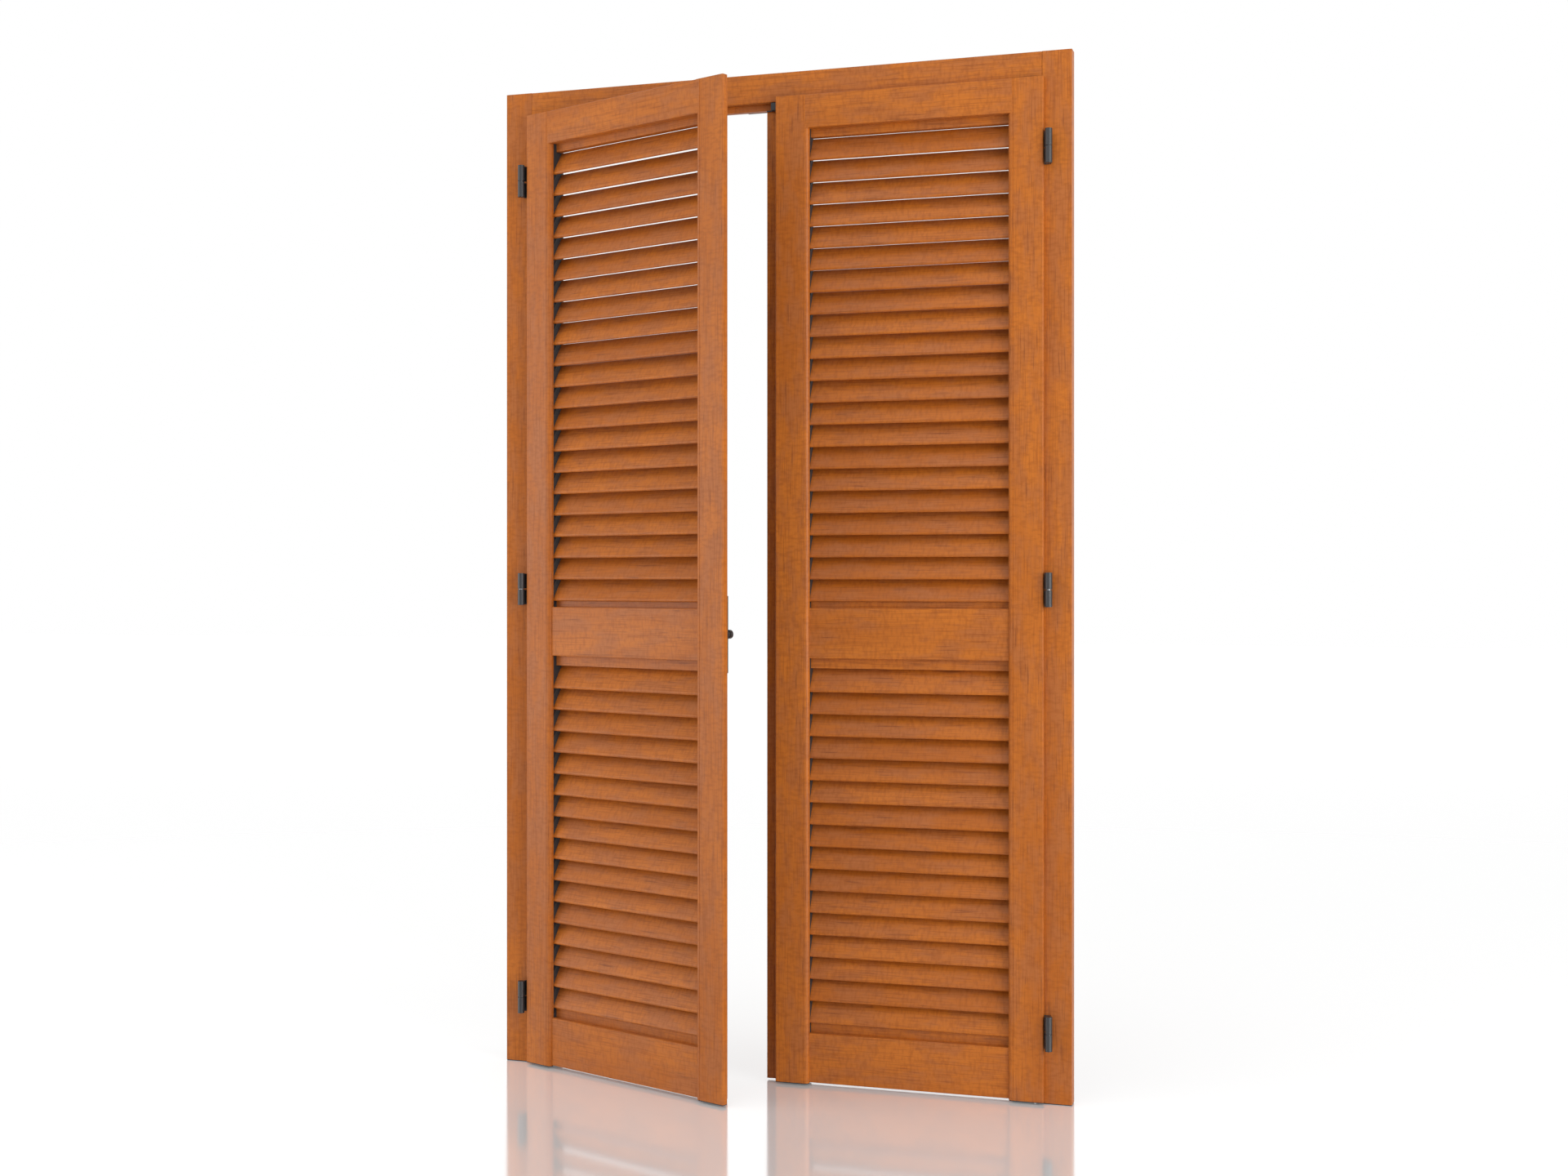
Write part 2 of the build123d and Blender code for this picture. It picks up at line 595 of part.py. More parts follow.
def rebate_pieces():
    """The tongue that the left leaf closes on, and its cap."""
    x = (LEAF_INNER - TONGUE_REACH, LEAF_INNER + WING_WIDTH)
    y = (STOP_FRONT, STOP_FRONT + TONGUE_THICKNESS)
    top = STOP_UNDERSIDE - TONGUE_PLAY
    wall = LEAF_WALL
    section = rectangle(x, y) - rectangle((x[0] + wall, x[1] - wall), (y[0] + wall, y[1] - wall))
    block_x = (LEAF_INNER - CAP_REACH, LEAF_INNER - CAP_REACH + CAP_BODY)
    block_y = (FRAME_FRONT + CAP_PLAY / 2, GASKET_Y[0] - CAP_PLAY / 2)
    block = box(block_x, block_y, (top, HEAD_UNDERSIDE - CAP_PLAY))
    plate = box(x, (block_y[1], y[1]), (top, top + CAP_PLATE))
    return {
        "rebate": [upright(section, (FLOOR_GAP, top))],
        "rebate_cap": [plate + block],
    }


def lock_housing():
    """The lock's cover, open towards the stile, with slots for the rods."""
    half = HOUSING_WIDTH / 2
    back = LEAF_BACK
    front = back + HOUSING_DEPTH
    z = (LOCK_HEIGHT - HOUSING_LENGTH / 2, LOCK_HEIGHT + HOUSING_LENGTH / 2)
    corners = [(-half, back, 0), (half, back, 0), (half, front, HOUSING_ROUND), (-half, front, HOUSING_ROUND)]
    wall = HOUSING_WALL
    cover = upright(Pos(MEETING_CENTRE, 0) * cornered(corners), z)
    inside = (MEETING_CENTRE - half + wall, MEETING_CENTRE + half - wall)
    hollow = box(inside, (back, front - wall), (z[0] + wall, z[1] - wall))
    neck = Pos(MEETING_CENTRE, front, LOCK_HEIGHT) * Rot(90, 0, 0) * Cylinder(NECK_RADIUS + NECK_PLAY, 4 * wall)
    return cover - hollow - rod_channel(z, ROD_PLAY) - neck


def rod_channel(z, play):
    """Room for a flat rod to slide through, at the rod's place."""
    half = ROD_WIDTH / 2 + play
    y = (ROD_FRONT - play, ROD_FRONT + ROD_THICKNESS + play)
    return box((MEETING_CENTRE - half, MEETING_CENTRE + half), y, z)


def lock_handle():
    """A neck through the cover and a tapering lever, level when unlocked."""
    start = LEAF_BACK + HOUSING_DEPTH - 2 * HOUSING_WALL
    end = LEAF_BACK + HOUSING_DEPTH + NECK_LENGTH
    neck = Rot(90, 0, 0) * Cylinder(NECK_RADIUS, end - start)
    neck = Pos(MEETING_CENTRE, (start + end) / 2, LOCK_HEIGHT) * neck
    half = LEVER_WIDTH / 2
    tip = LEVER_TIP / 2
    corners = [
        (-half, -half, half),
        (0, -half, 0),
        (LEVER_LENGTH, -tip, tip),
        (LEVER_LENGTH, tip, tip),
        (0, half, 0),
        (-half, half, half),
    ]
    lever = extrude(Plane.XZ * cornered(corners), LEVER_THICKNESS)
    return neck + Pos(MEETING_CENTRE, end, LOCK_HEIGHT) * lever


def lock_rod(z):
    """A flat rod on the back of the stile."""
    half = ROD_WIDTH / 2
    y = (ROD_FRONT, ROD_FRONT + ROD_THICKNESS)
    return box((MEETING_CENTRE - half, MEETING_CENTRE + half), y, z)


def rod_guides():
    """Brackets that hold the rods to the stile."""
    half = GUIDE_WIDTH / 2
    x = (MEETING_CENTRE - half, MEETING_CENTRE + half)
    y = (LEAF_BACK, ROD_FRONT + ROD_THICKNESS + GUIDE_WALL)
    pieces = []
    for near, far in (UPPER_ROD, LOWER_ROD[::-1]):
        for share in GUIDE_PLACES:
            height = far + share * (near - far)
            z = (height - GUIDE_LENGTH / 2, height + GUIDE_LENGTH / 2)
            pieces.append(box(x, y, z) - rod_channel(z, ROD_PLAY))
    return pieces


def lock_pieces():
    """The lock of the left leaf, as if it were on the closed right leaf."""
    return {
        "lock_housing": [lock_housing()],
        "lock_handle": [lock_handle()],
        "lock_rod_top": [lock_rod(UPPER_ROD)],
        "lock_rod_bottom": [lock_rod(LOWER_ROD)],
        "rod_guides": rod_guides(),
    }


def bolt():
    """The right leaf's top bolt: a flat bar with a finger tab."""
    bar = lock_rod((BODY_TOP - BOLT_LENGTH, BODY_TOP))
    half = TAB_WIDTH / 2
    top = BODY_TOP - BOLT_INSET - TAB_DROP
    y = (ROD_FRONT + ROD_THICKNESS, ROD_FRONT + ROD_THICKNESS + TAB_REACH)
    return bar + box((MEETING_CENTRE - half, MEETING_CENTRE + half), y, (top - TAB_HEIGHT, top))


def bolt_plate():
    """The plate of the top bolt, with a guide at each end."""
    half = GUIDE_WIDTH / 2
    x = (MEETING_CENTRE - half, MEETING_CENTRE + half)
    top = BODY_TOP - BOLT_INSET
    z = (top - BOLT_PLATE_LENGTH, top)
    reach = (LEAF_BACK, ROD_FRONT + ROD_THICKNESS + GUIDE_WALL)
    plate = box(x, (LEAF_BACK, LEAF_BACK + BOLT_PLATE), z)
    lower = box(x, reach, (z[0], z[0] + GUIDE_LENGTH))
    upper = box(x, reach, (z[1] - GUIDE_LENGTH, z[1]))
    return plate + lower + upper - rod_channel(z, ROD_PLAY)


def at_foot(shape):
    """Turns a piece at the top of the leaf over, to the same place at its foot."""
    return Pos(0, 0, BODY_TOP + LEAST_FLOOR_GAP) * mirror(shape, about=Plane.XY)


def bolt_pieces():
    """The bolts at the top and the bottom of the right leaf."""
    return {
        "bolt_top": [bolt()],
        "bolt_bottom": [at_foot(bolt())],
        "bolt_plates": [bolt_plate(), at_foot(bolt_plate())],
    }


def on_left(pieces):
    """Mirrors closed right pieces to the left side of the frame."""
    return [mirror(piece, about=Plane.YZ) for piece in pieces]


def opened(pieces):
    """Turns closed left pieces open about the left hinge pins."""
    pins = Pos(-HINGE_X, HINGE_Y, 0)
    turn = pins * Rot(0, 0, -OPEN_ANGLE) * pins.inverse()
    return [turn * piece for piece in pieces]


def write(name, pieces):
    """Writes one sub-part, which may be several separate solids."""
    solids = [solid for piece in pieces for solid in piece.solids()]
    shape = solids[0] if len(solids) == 1 else Compound(children=solids)
    export_step(shape, f"parts/{name}.step")


def write_frame():
    """The fixed frame, with the lower halves of the hinges."""
    write("frame_jamb_right", [frame_jamb()])
    write("frame_jamb_left", on_left([frame_jamb()]))
    write("frame_head", [frame_head()])
    write("frame_head_connectors", head_connectors())
    write("frame_caps", frame_caps())
    write("head_keepers", [keeper()] + on_left([keeper()]))
    for name, make in (
        ("hinge_frame_halves", frame_hinge_half),
        ("hinge_pins", hinge_pin),
    ):
        pieces = [make(height) for height in HINGE_HEIGHTS]
        write(f"{name}_right", pieces)
        write(f"{name}_left", on_left(pieces))


def write_leaves():
    """The closed right leaf, and the left leaf turned open."""
    shared = leaf_pieces()
    for name, pieces in {**shared, **rebate_pieces(), **bolt_pieces()}.items():
        write(f"right_{name}", pieces)
    for name, pieces in {**shared, "meeting_gasket": [meeting_gasket()], **lock_pieces()}.items():
        write(f"left_{name}", opened(on_left(pieces)))


os.makedirs("parts", exist_ok=True)
write_frame()
write_leaves()
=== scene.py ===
# %% [markdown]
# # Louvred shutters for a French window
# This file dresses a pair of louvred shutter leaves, in their frame, for a render.
# The leaves, hinges and lock come from a CAD model and stay exactly where they are.
# What Blender adds is the finish: a wood-effect coating on aluminium, matt black
# plastic, rubber seals, and the small screws that hold the fittings on.
# Lengths are in metres. X runs to the right, Y into the wall, and Z up.

# %% Load the model
from math import cos, pi, radians, sin

import bmesh
import bpy
from mathutils import Matrix, Vector


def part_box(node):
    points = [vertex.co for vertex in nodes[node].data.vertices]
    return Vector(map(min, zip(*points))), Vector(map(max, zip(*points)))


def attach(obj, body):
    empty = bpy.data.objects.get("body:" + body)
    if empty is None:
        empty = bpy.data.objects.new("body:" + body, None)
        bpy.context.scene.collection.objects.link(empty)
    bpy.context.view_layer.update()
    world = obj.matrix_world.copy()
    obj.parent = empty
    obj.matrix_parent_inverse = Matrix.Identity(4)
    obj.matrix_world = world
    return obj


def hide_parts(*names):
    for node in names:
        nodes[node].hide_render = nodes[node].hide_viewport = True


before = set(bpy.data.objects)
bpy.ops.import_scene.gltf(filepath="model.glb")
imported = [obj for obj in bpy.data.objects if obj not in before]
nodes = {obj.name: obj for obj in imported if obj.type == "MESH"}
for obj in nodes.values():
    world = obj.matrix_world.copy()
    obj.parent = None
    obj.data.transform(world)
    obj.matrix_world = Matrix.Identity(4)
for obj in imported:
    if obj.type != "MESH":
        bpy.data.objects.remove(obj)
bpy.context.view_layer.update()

# %% [markdown]
# ## Where the left leaf stands
# The right leaf is closed, so its slats and rails run along X. The left leaf is turned
# open about its hinge pins. A transform that turns a shape drawn for the closed leaf to
# its open place is needed twice: for pieces that are added to that leaf, and, the other
# way round, for a grain that has to follow the leaf and not the world.

# %% The open leaf's place
pins_low, pins_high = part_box("hinge_pins_left")
pin_x = (pins_low.x + pins_high.x) / 2
pin_y = (pins_low.y + pins_high.y) / 2
OPEN_ANGLE = radians(21.4)
to_pin = Matrix.Translation((pin_x, pin_y, 0))
LEFT_OPEN = to_pin @ Matrix.Rotation(-OPEN_ANGLE, 4, "Z") @ to_pin.inverted()
print("left hinge axis:", round(pin_x, 4), round(pin_y, 4))

# %% [markdown]
# ## Writing a shader as arithmetic
# A material in Blender is a graph of nodes, and wiring one by hand takes many lines. The
# class below wraps one output socket, and gives it the usual operators, so that
# `1 - mask * 0.5` adds its Math nodes by itself. Any other node comes from one method,
# which takes the node's type, its settings and what goes into its sockets.

# %% A socket with operators
class Wire:
    """One output socket in a material's graph."""

    def __init__(self, tree, socket):
        self.tree = tree
        self.socket = socket

    def math(self, operation, *values):
        """Adds one Math node on this wire and the given wires or numbers."""
        node = self.tree.nodes.new("ShaderNodeMath")
        node.operation = operation
        for slot, value in zip(node.inputs, (self, *values)):
            connect(self.tree, slot, value)
        return Wire(self.tree, node.outputs[0])

    def __add__(self, other):
        return self.math("ADD", other)

    def __sub__(self, other):
        return self.math("SUBTRACT", other)

    def __mul__(self, other):
        return self.math("MULTIPLY", other)

    def __rsub__(self, other):
        return (self * -1.0) + other

    __radd__ = __add__
    __rmul__ = __mul__

    def between(self, low, high):
        """0 below low, 1 above high, and smooth in between."""
        node = self.tree.nodes.new("ShaderNodeMapRange")
        node.interpolation_type = "SMOOTHSTEP"
        connect(self.tree, node.inputs["Value"], self)
        node.inputs["From Min"].default_value = low
        node.inputs["From Max"].default_value = high
        return Wire(self.tree, node.outputs["Result"])


def connect(tree, slot, value):
    """Links a wire or a socket to a slot, or sets a plain value on it."""
    if isinstance(value, Wire):
        value = value.socket
    if isinstance(value, bpy.types.NodeSocket):
        tree.links.new(value, slot)
    else:
        slot.default_value = value


class Graph:
    """A new material, with its shader and the nodes that feed it."""

    def __init__(self, name):
        self.material = bpy.data.materials.new(name)
        self.material.use_nodes = True
        self.tree = self.material.node_tree
        self.shader = self.tree.nodes["Principled BSDF"]

    def node(self, kind, settings=None, output=0, **sockets):
        """Adds one node: settings first, then its sockets by name."""
        node = self.tree.nodes.new(kind)
        for name, value in (settings or {}).items():
            setattr(node, name, value)
        for name, value in sockets.items():
            connect(self.tree, node.inputs[name.replace("_", " ")], value)
        return Wire(self.tree, node.outputs[output])

    def vector(self, operation, first, second):
        """One Vector Math node on two wires or plain vectors."""
        node = self.tree.nodes.new("ShaderNodeVectorMath")
        node.operation = operation
        connect(self.tree, node.inputs[0], first)
        connect(self.tree, node.inputs[1], second)
        return Wire(self.tree, node.outputs[0])

    def mix(self, mask, low, high):
        """A colour that goes from low to high as the mask goes from 0 to 1."""
        node = self.tree.nodes.new("ShaderNodeMix")
        node.data_type = "RGBA"
        for slot, value in ((0, mask), (6, low), (7, high)):
            connect(self.tree, node.inputs[slot], value)
        return Wire(self.tree, node.outputs[2])

    def surface(self, **sockets):
        """Sets or links the shader's own sockets."""
        for name, value in sockets.items():
            connect(self.tree, self.shader.inputs[name.replace("_", " ")], value)
        return self.material


# %% [markdown]
# ## The wood-effect coating
# The profiles are aluminium, coated in cherry and printed with a grain that runs along
# each profile. Seen close, four things show: a broad cloudy change of tone, fine lines
# along the grain, short dark flecks, and a satin skin. Noise that is stretched along one
# axis gives the first three. The grain axis is a setting, because jambs and stiles stand
# and rails and slats lie. On the open leaf, the coordinates are first turned back to the
# closed place. Slats also carry a number each, which shifts the pattern from one to the
# next, as strips cut from different lengths of stock would show.

# %% Colours of the coating
CHERRY = (0.430, 0.115, 0.011, 1)
CHERRY_LIGHT = (0.520, 0.150, 0.017, 1)
CHERRY_ROSE = (0.400, 0.124, 0.031, 1)
CHERRY_DARK = (0.270, 0.066, 0.008, 1)
FLECK = (0.130, 0.030, 0.007, 1)
print("coating colours, from light to dark:", CHERRY_LIGHT[0], CHERRY[0], CHERRY_ROSE[0], CHERRY_DARK[0])


# %% The coating as a material
def wood_coat(name, grain, turn=0.0, offset=0.0):
    """Cherry coating whose grain runs along one axis of its leaf."""
    g = Graph(name)
    place = g.node("ShaderNodeTexCoord", output=3)
    away = (offset, offset, offset)
    place = g.node("ShaderNodeMapping", Vector=place, Rotation=(0, 0, turn), Location=away)
    shift = g.node("ShaderNodeAttribute", {"attribute_name": "plank"}, output=1)
    place = g.vector("ADD", place, shift)

    def noise(stretch, scale, detail=2.0):
        """Noise drawn out along the grain."""
        along = (stretch, 1, 1) if grain == "X" else (1, 1, stretch)
        drawn = g.vector("MULTIPLY", place, along)
        return g.node("ShaderNodeTexNoise", Vector=drawn, Scale=scale, Detail=detail, Roughness=0.6)

    broad = noise(0.15, 7.0)
    clouds = noise(0.40, 26.0, 4.0)
    lines = noise(0.03, 420.0, 3.0)
    dashes = noise(0.05, 240.0, 1.0)
    ripple = noise(2.5, 60.0, 1.0)

    colour = g.mix(broad.between(0.35, 0.65), CHERRY, CHERRY_LIGHT)
    colour = g.mix(clouds.between(0.40, 0.64) * 0.85, colour, CHERRY_ROSE)
    colour = g.mix(ripple.between(0.40, 0.75) * 0.38, colour, CHERRY_DARK)
    colour = g.mix(lines.between(0.46, 0.70) * 0.55, colour, CHERRY_DARK)
    colour = g.mix(dashes.between(0.60, 0.74) * clouds.between(0.38, 0.60) * 0.42, colour, FLECK)
    bump = g.node("ShaderNodeBump", Strength=0.12, Distance=0.0004, Height=lines)
    rough = 0.38 + lines * 0.12
    g.shader.inputs["Specular IOR Level"].default_value = 0.25
    return g.surface(Base_Color=colour, Roughness=rough, Normal=bump)


COAT = {
    "frame_upright": wood_coat("coat_frame_upright", "Z"),
    "frame_level": wood_coat("coat_frame_level", "X", offset=0.7),
    "left_upright": wood_coat("coat_left_upright", "Z", turn=OPEN_ANGLE, offset=1.3),
    "left_level": wood_coat("coat_left_level", "X", turn=OPEN_ANGLE, offset=2.1),
    "right_upright": wood_coat("coat_right_upright", "Z", offset=3.7),
    "right_level": wood_coat("coat_right_level", "X", offset=4.9),
}
print("coatings:", len(COAT))

# %% [markdown]
# ## Black paint, plastic, rubber and steel
# The fittings are quiet: hinges and lock in satin black paint with a fine texture, caps
# and slat carriers in matt plastic, seals in rubber. A little noise in the roughness and
# in a bump keeps each from looking like one flat colour.


# %% Plain finishes
def quiet(name, colour, rough, spread, scale, metal=0.0, height=0.0001):
    """One colour with a fine change of roughness and a light bump."""
    g = Graph(name)
    place = g.node("ShaderNodeTexCoord", output=3)
    grain = g.node("ShaderNodeTexNoise", Vector=place, Scale=scale, Detail=3.0)
    tint = g.mix(grain.between(0.3, 0.7), colour, tuple(1.25 * c for c in colour[:3]) + (1,))
    bump = g.node("ShaderNodeBump", Strength=0.25, Distance=height, Height=grain)
    g.shader.inputs["Metallic"].default_value = metal
    return g.surface(Base_Color=tint, Roughness=rough + grain * spread, Normal=bump)


BLACK_PAINT = quiet("black_paint", (0.022, 0.021, 0.022, 1), 0.30, 0.20, 900.0)
BLACK_PLASTIC = quiet("black_plastic", (0.020, 0.020, 0.022, 1), 0.50, 0.20, 500.0)
RUBBER = quiet("rubber", (0.013, 0.013, 0.013, 1), 0.62, 0.20, 300.0)
STEEL = quiet("steel", (0.45, 0.45, 0.46, 1), 0.22, 0.15, 700.0, metal=1.0)
CAST = quiet("cast_aluminium", (0.52, 0.52, 0.54, 1), 0.45, 0.20, 400.0, metal=1.0)
print("materials so far:", len(bpy.data.materials))

# %% [markdown]
# ## Which piece gets which finish
# A node's name says what it is, so a short list of words is enough to choose its finish.
# Uprights and level pieces are kept apart, because the grain turns a corner with them.

# %% Finishes by name
UPRIGHT = ("jamb", "stile", "rebate")
LEVEL = ("head", "rail", "slats", "strips")
BY_WORD = [
    ("gasket", RUBBER),
    ("connectors", CAST),
    ("pins", STEEL),
    ("caps", BLACK_PLASTIC),
    ("rebate_cap", BLACK_PLASTIC),
    ("carriers", BLACK_PLASTIC),
    ("guides", BLACK_PLASTIC),
    ("hinge_halves", BLACK_PAINT),
    ("hinge_frame_halves", BLACK_PAINT),
    ("lock", BLACK_PAINT),
    ("bolt", BLACK_PAINT),
    ("keepers", BLACK_PAINT),
]


def finish_of(node):
    """The material that a CAD node gets, from the words in its name."""
    for word, material in BY_WORD:
        if word in node:
            return material
    side = node.split("_")[0]
    way = "upright" if any(word in node for word in UPRIGHT) else "level"
    return COAT[f"{side}_{way}"]


for name, obj in nodes.items():
    obj.data.materials.clear()
    obj.data.materials.append(finish_of(name))
print("coated pieces:", sum(finish_of(name) in COAT.values() for name in nodes), "of", len(nodes))

# %% [markdown]
# ## The slats
# Each slat is an extruded oval with a round nose, and a panel holds a column of them at
# one pitch. The CAD model makes their noses from a few flats, to stay light. Here a
# Geometry Nodes tree draws the same oval from a circle, pulls its halves apart, swells
# the sides, sweeps it along a line and copies it up the panel. The same tree serves all
# four panels, because length, pitch and count are its inputs.

# %% Sizes of a slat
SLAT_CHORD = 0.061
SLAT_THICKNESS = 0.010
SLAT_NOSE = 0.004
SLAT_TILT = radians(60.5)
SLAT_PITCH = 0.050
NOSE_POINTS = 40


# %% A tree that draws a column of slats
def add(tree, kind, settings=None, **sockets):
    """Adds a geometry node, with its settings and its sockets by name."""
    node = tree.nodes.new(kind)
    for name, value in (settings or {}).items():
        setattr(node, name, value)
    for name, value in sockets.items():
        connect(tree, node.inputs[name.replace("_", " ")], value)
    return node


def number(tree, operation, first, second=0.0):
    """One Math node in a geometry tree."""
    node = tree.nodes.new("ShaderNodeMath")
    node.operation = operation
    for slot, value in zip(node.inputs, (first, second)):
        connect(tree, slot, value)
    return node.outputs[0]


def slat_tree():
    """Inputs: Length, Pitch, Count, Seed and Finish."""
    tree = bpy.data.node_groups.new("slat_column", "GeometryNodeTree")
    face = tree.interface
    face.new_socket("Geometry", in_out="OUTPUT", socket_type="NodeSocketGeometry")
    face.new_socket("Length", in_out="INPUT", socket_type="NodeSocketFloat")
    face.new_socket("Pitch", in_out="INPUT", socket_type="NodeSocketFloat")
    face.new_socket("Count", in_out="INPUT", socket_type="NodeSocketInt")
    face.new_socket("Seed", in_out="INPUT", socket_type="NodeSocketInt")
    face.new_socket("Finish", in_out="INPUT", socket_type="NodeSocketMaterial")
    given = tree.nodes.new("NodeGroupInput")
    result = tree.nodes.new("NodeGroupOutput")

    half = SLAT_CHORD / 2 - SLAT_NOSE
    circle = add(tree, "GeometryNodeCurvePrimitiveCircle", Resolution=NOSE_POINTS, Radius=SLAT_NOSE)
    where = add(tree, "GeometryNodeInputPosition")
    parts = add(tree, "ShaderNodeSeparateXYZ", Vector=where.outputs[0])
    side = number(tree, "SIGN", parts.outputs["X"])
    apart = number(tree, "MULTIPLY", side, half)
    move = add(tree, "ShaderNodeCombineXYZ", X=apart)
    stadium = add(tree, "GeometryNodeSetPosition", Geometry=circle.outputs[0], Offset=move.outputs[0])
    dense = add(tree, "GeometryNodeResampleCurve", Curve=stadium.outputs[0], Count=2 * NOSE_POINTS)

    where = add(tree, "GeometryNodeInputPosition")
    parts = add(tree, "ShaderNodeSeparateXYZ", Vector=where.outputs[0])
    share = number(tree, "DIVIDE", parts.outputs["X"], half)
    fall = number(tree, "MULTIPLY", share, share)
    swell = number(tree, "MAXIMUM", number(tree, "SUBTRACT", 1.0, fall), 0.0)
    extra = number(tree, "MULTIPLY", swell, (SLAT_THICKNESS / 2 - SLAT_NOSE) / SLAT_NOSE)
    rise = number(tree, "MULTIPLY", extra, parts.outputs["Y"])
    move = add(tree, "ShaderNodeCombineXYZ", Y=rise)
    oval = add(tree, "GeometryNodeSetPosition", Geometry=dense.outputs[0], Offset=move.outputs[0])

    lean = (half * cos(SLAT_TILT), half * sin(SLAT_TILT), 0)
    leaning = add(tree, "GeometryNodeTransform", Geometry=oval.outputs[0], Translation=lean,
                  Rotation=(0, 0, SLAT_TILT))
    end = add(tree, "ShaderNodeCombineXYZ", Z=given.outputs["Length"])
    line = add(tree, "GeometryNodeCurvePrimitiveLine", End=end.outputs[0])
    bar = add(tree, "GeometryNodeCurveToMesh", Curve=line.outputs[0], Profile_Curve=leaning.outputs[0])
    bar.inputs["Fill Caps"].default_value = True
    slat = add(tree, "GeometryNodeTransform", Geometry=bar.outputs[0], Rotation=(pi / 2, 0, pi / 2))
    up = add(tree, "ShaderNodeCombineXYZ", Z=given.outputs["Pitch"])
    column = add(tree, "GeometryNodeMeshLine", Count=given.outputs["Count"], Offset=up.outputs[0])
    copies = add(tree, "GeometryNodeInstanceOnPoints", Points=column.outputs[0],
                 Instance=slat.outputs[0])
    chance = add(tree, "FunctionNodeRandomValue", {"data_type": "FLOAT_VECTOR"},
                 Seed=given.outputs["Seed"])
    chance.inputs["Max"].default_value = (9.0, 9.0, 9.0)
    kept = {"data_type": "FLOAT_VECTOR", "domain": "INSTANCE"}
    plank = add(tree, "GeometryNodeStoreNamedAttribute", kept,
                Geometry=copies.outputs[0], Name="plank", Value=chance.outputs[0])
    real = add(tree, "GeometryNodeRealizeInstances", Geometry=plank.outputs[0])
    done = add(tree, "GeometryNodeSetMaterial", Geometry=real.outputs[0],
               Material=given.outputs["Finish"])
    tree.links.new(done.outputs[0], result.inputs[0])
    return tree


SLAT_TREE = slat_tree()
print("slat tree:", len(SLAT_TREE.nodes), "nodes")

# %% [markdown]
# ## From a tree to a plain mesh
# A tree lives in a modifier, and its copies exist only while that is evaluated. An
# export and a moving body need a real mesh, so the result is read back once, and the
# modifier goes. Each input is set by its socket's identifier, before that reading.


# %% Running a tree
def grown(name, tree, places=(), **inputs):
    """Runs a geometry tree with the given inputs and returns a plain object."""
    start = bpy.data.meshes.new(name)
    start.from_pydata(places, [], [])
    carrier = bpy.data.objects.new(name, start)
    bpy.context.scene.collection.objects.link(carrier)
    modifier = carrier.modifiers.new("grow", "NODES")
    modifier.node_group = tree
    for item in tree.interface.items_tree:
        if item.in_out == "INPUT" and item.name in inputs:
            modifier[item.identifier] = inputs[item.name]
    graph = bpy.context.evaluated_depsgraph_get()
    mesh = bpy.data.meshes.new_from_object(carrier.evaluated_get(graph), depsgraph=graph)
    carrier.modifiers.clear()
    carrier.data = mesh
    return carrier


def smooth_sides(obj, axis):
    """Smooth shading, apart from faces that look along the given axis."""
    for face in obj.data.polygons:
        face.use_smooth = abs(face.normal.dot(axis)) < 0.9


# %% [markdown]
# ## Placing the four panels
# The slats of a panel start where the lowest CAD slat starts, and their number follows
# from the height of the CAD panel. The oval was drawn flat, along Z, so it is first
# stood on its nose at the slats' angle and laid along X. The left leaf's slats are drawn
# for the closed place and turned open with the leaf.

# %% Slats of each panel
def panel(side, level, seed):
    """One panel's slats, in place of the CAD ones."""
    low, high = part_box(f"right_{level}_slats")
    slat_rise = (SLAT_CHORD - 2 * SLAT_NOSE) * sin(SLAT_TILT) + 2 * SLAT_NOSE
    count = round((high.z - low.z - slat_rise) / SLAT_PITCH) + 1
    obj = grown(f"{side}_{level}_slats_oval", SLAT_TREE, Length=high.x - low.x, Pitch=SLAT_PITCH,
                Count=count, Seed=seed, Finish=COAT[f"{side}_level"])
    nose = Vector((low.x, low.y + SLAT_NOSE, low.z + SLAT_NOSE))
    obj.data.transform(Matrix.Translation(nose))
    if side == "left":
        obj.data.transform(LEFT_OPEN @ Matrix.Scale(-1, 4, (1, 0, 0)))
        obj.data.flip_normals()
    along = Vector((1, 0, 0))
    smooth_sides(obj, LEFT_OPEN.to_3x3() @ along if side == "left" else along)
    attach(obj, f"{side}_leaf")
    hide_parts(f"{side}_{level}_slats")
    print(obj.name, count, "slats,", len(obj.data.polygons), "faces")


for seed, (side, level) in enumerate((s, l) for s in ("left", "right") for l in ("upper", "lower")):
    panel(side, level, seed)


# %% [markdown]
# ## Screws
# Lock, rod guides, bolts, keepers and hinge plates are held by screws with a low round
# head and a cross in it. One head is modelled as a disc whose middle rises, with the
# cross pushed in. A second Geometry Nodes tree puts a copy at each vertex of a small
# mesh of places, turns it to face out, and gives each its own chance turn.

# %% One screw head
def screw_head(name, radius, rise, rings=12, turns=48):
    """A low domed disc with a cross pressed into it, looking along Z."""
    cross_half = 0.13 * radius
    cross_reach = 0.62 * radius
    cross_floor = 0.4 * rise
    shape = bmesh.new()
    middle = shape.verts.new((0, 0, cross_floor))
    last = None
    for ring in range(1, rings + 1):
        far = radius * ring / rings
        line = []
        for turn in range(turns):
            x = far * cos(2 * pi * turn / turns)
            y = far * sin(2 * pi * turn / turns)
            height = rise * (1 - (far / radius) ** 4)
            in_cross = min(abs(x), abs(y)) < cross_half and far < cross_reach
            line.append(shape.verts.new((x, y, cross_floor if in_cross else height)))
        for turn in range(turns):
            after = (turn + 1) % turns
            if last:
                shape.faces.new((last[turn], line[turn], line[after], last[after]))
            else:
                shape.faces.new((middle, line[turn], line[after]))
        last = line
    mesh = bpy.data.meshes.new(name)
    shape.to_mesh(mesh)
    shape.free()
    return bpy.data.objects.new(name, mesh)


